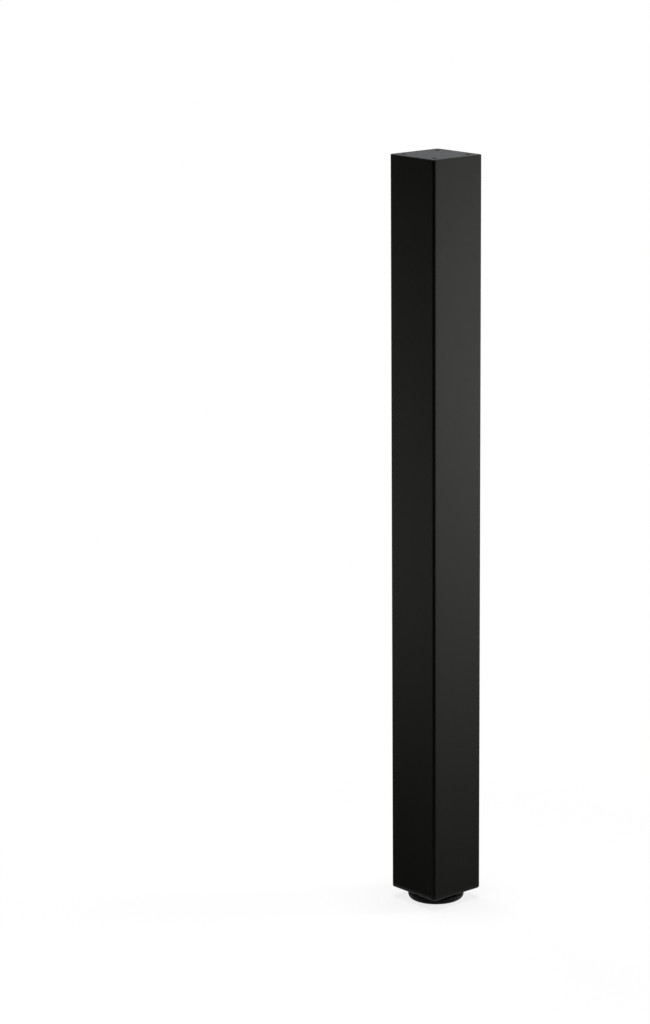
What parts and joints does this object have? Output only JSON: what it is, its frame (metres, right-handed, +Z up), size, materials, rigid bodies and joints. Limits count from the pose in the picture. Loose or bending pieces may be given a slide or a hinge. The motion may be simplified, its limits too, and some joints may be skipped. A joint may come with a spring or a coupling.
{
  "type": "table leg",
  "caption": "Square black steel table leg that slides over a die-cast plate screwed to the table, is clamped by grub screws and stands on a round levelling foot.",
  "frame": {"origin": "on the floor under the leg's axis, at the centre of the foot base's underside, foot wound fully in", "axes": "+Z up along the leg; X and Y square to the tube's faces; +Y out of the inner face that has the grub screws"},
  "size_m": [0.06, 0.06, 0.71],
  "materials": {
    "powder_coat": "matt black powder coat on steel",
    "zinc_casting": "black-passivated zinc die casting",
    "black_oxide_steel": "black-oxide alloy steel",
    "black_polyamide": "moulded black polyamide, fine grain",
    "zinc_plated_steel": "bright zinc-plated steel"
  },
  "bodies": {
    "leg": {"leg_tube": "powder_coat", "mount_plate": "zinc_casting", "weld_nuts": "powder_coat", "grub_screws": "black_oxide_steel", "end_plug": "black_polyamide", "thread_bush": "zinc_plated_steel"},
    "foot": {"foot_base": "black_polyamide"},
    "stud": {"foot_stud": "zinc_plated_steel"}
  },
  "joints": [
    {"name": "foot_height", "type": "slide", "parent": "leg", "child": "foot", "axis": [0, 0, -1], "range_m": [0, 0.02]},
    {"name": "stud_turn", "type": "hinge", "parent": "foot", "child": "stud", "pos_m": [0, 0, 0.007], "axis": [0, 0, -1], "range_deg": [0, 4800]}
  ],
  "couplings": [
    {"joint": "stud_turn", "follows": "foot_height", "rad_per_m": 4188.8}
  ]
}
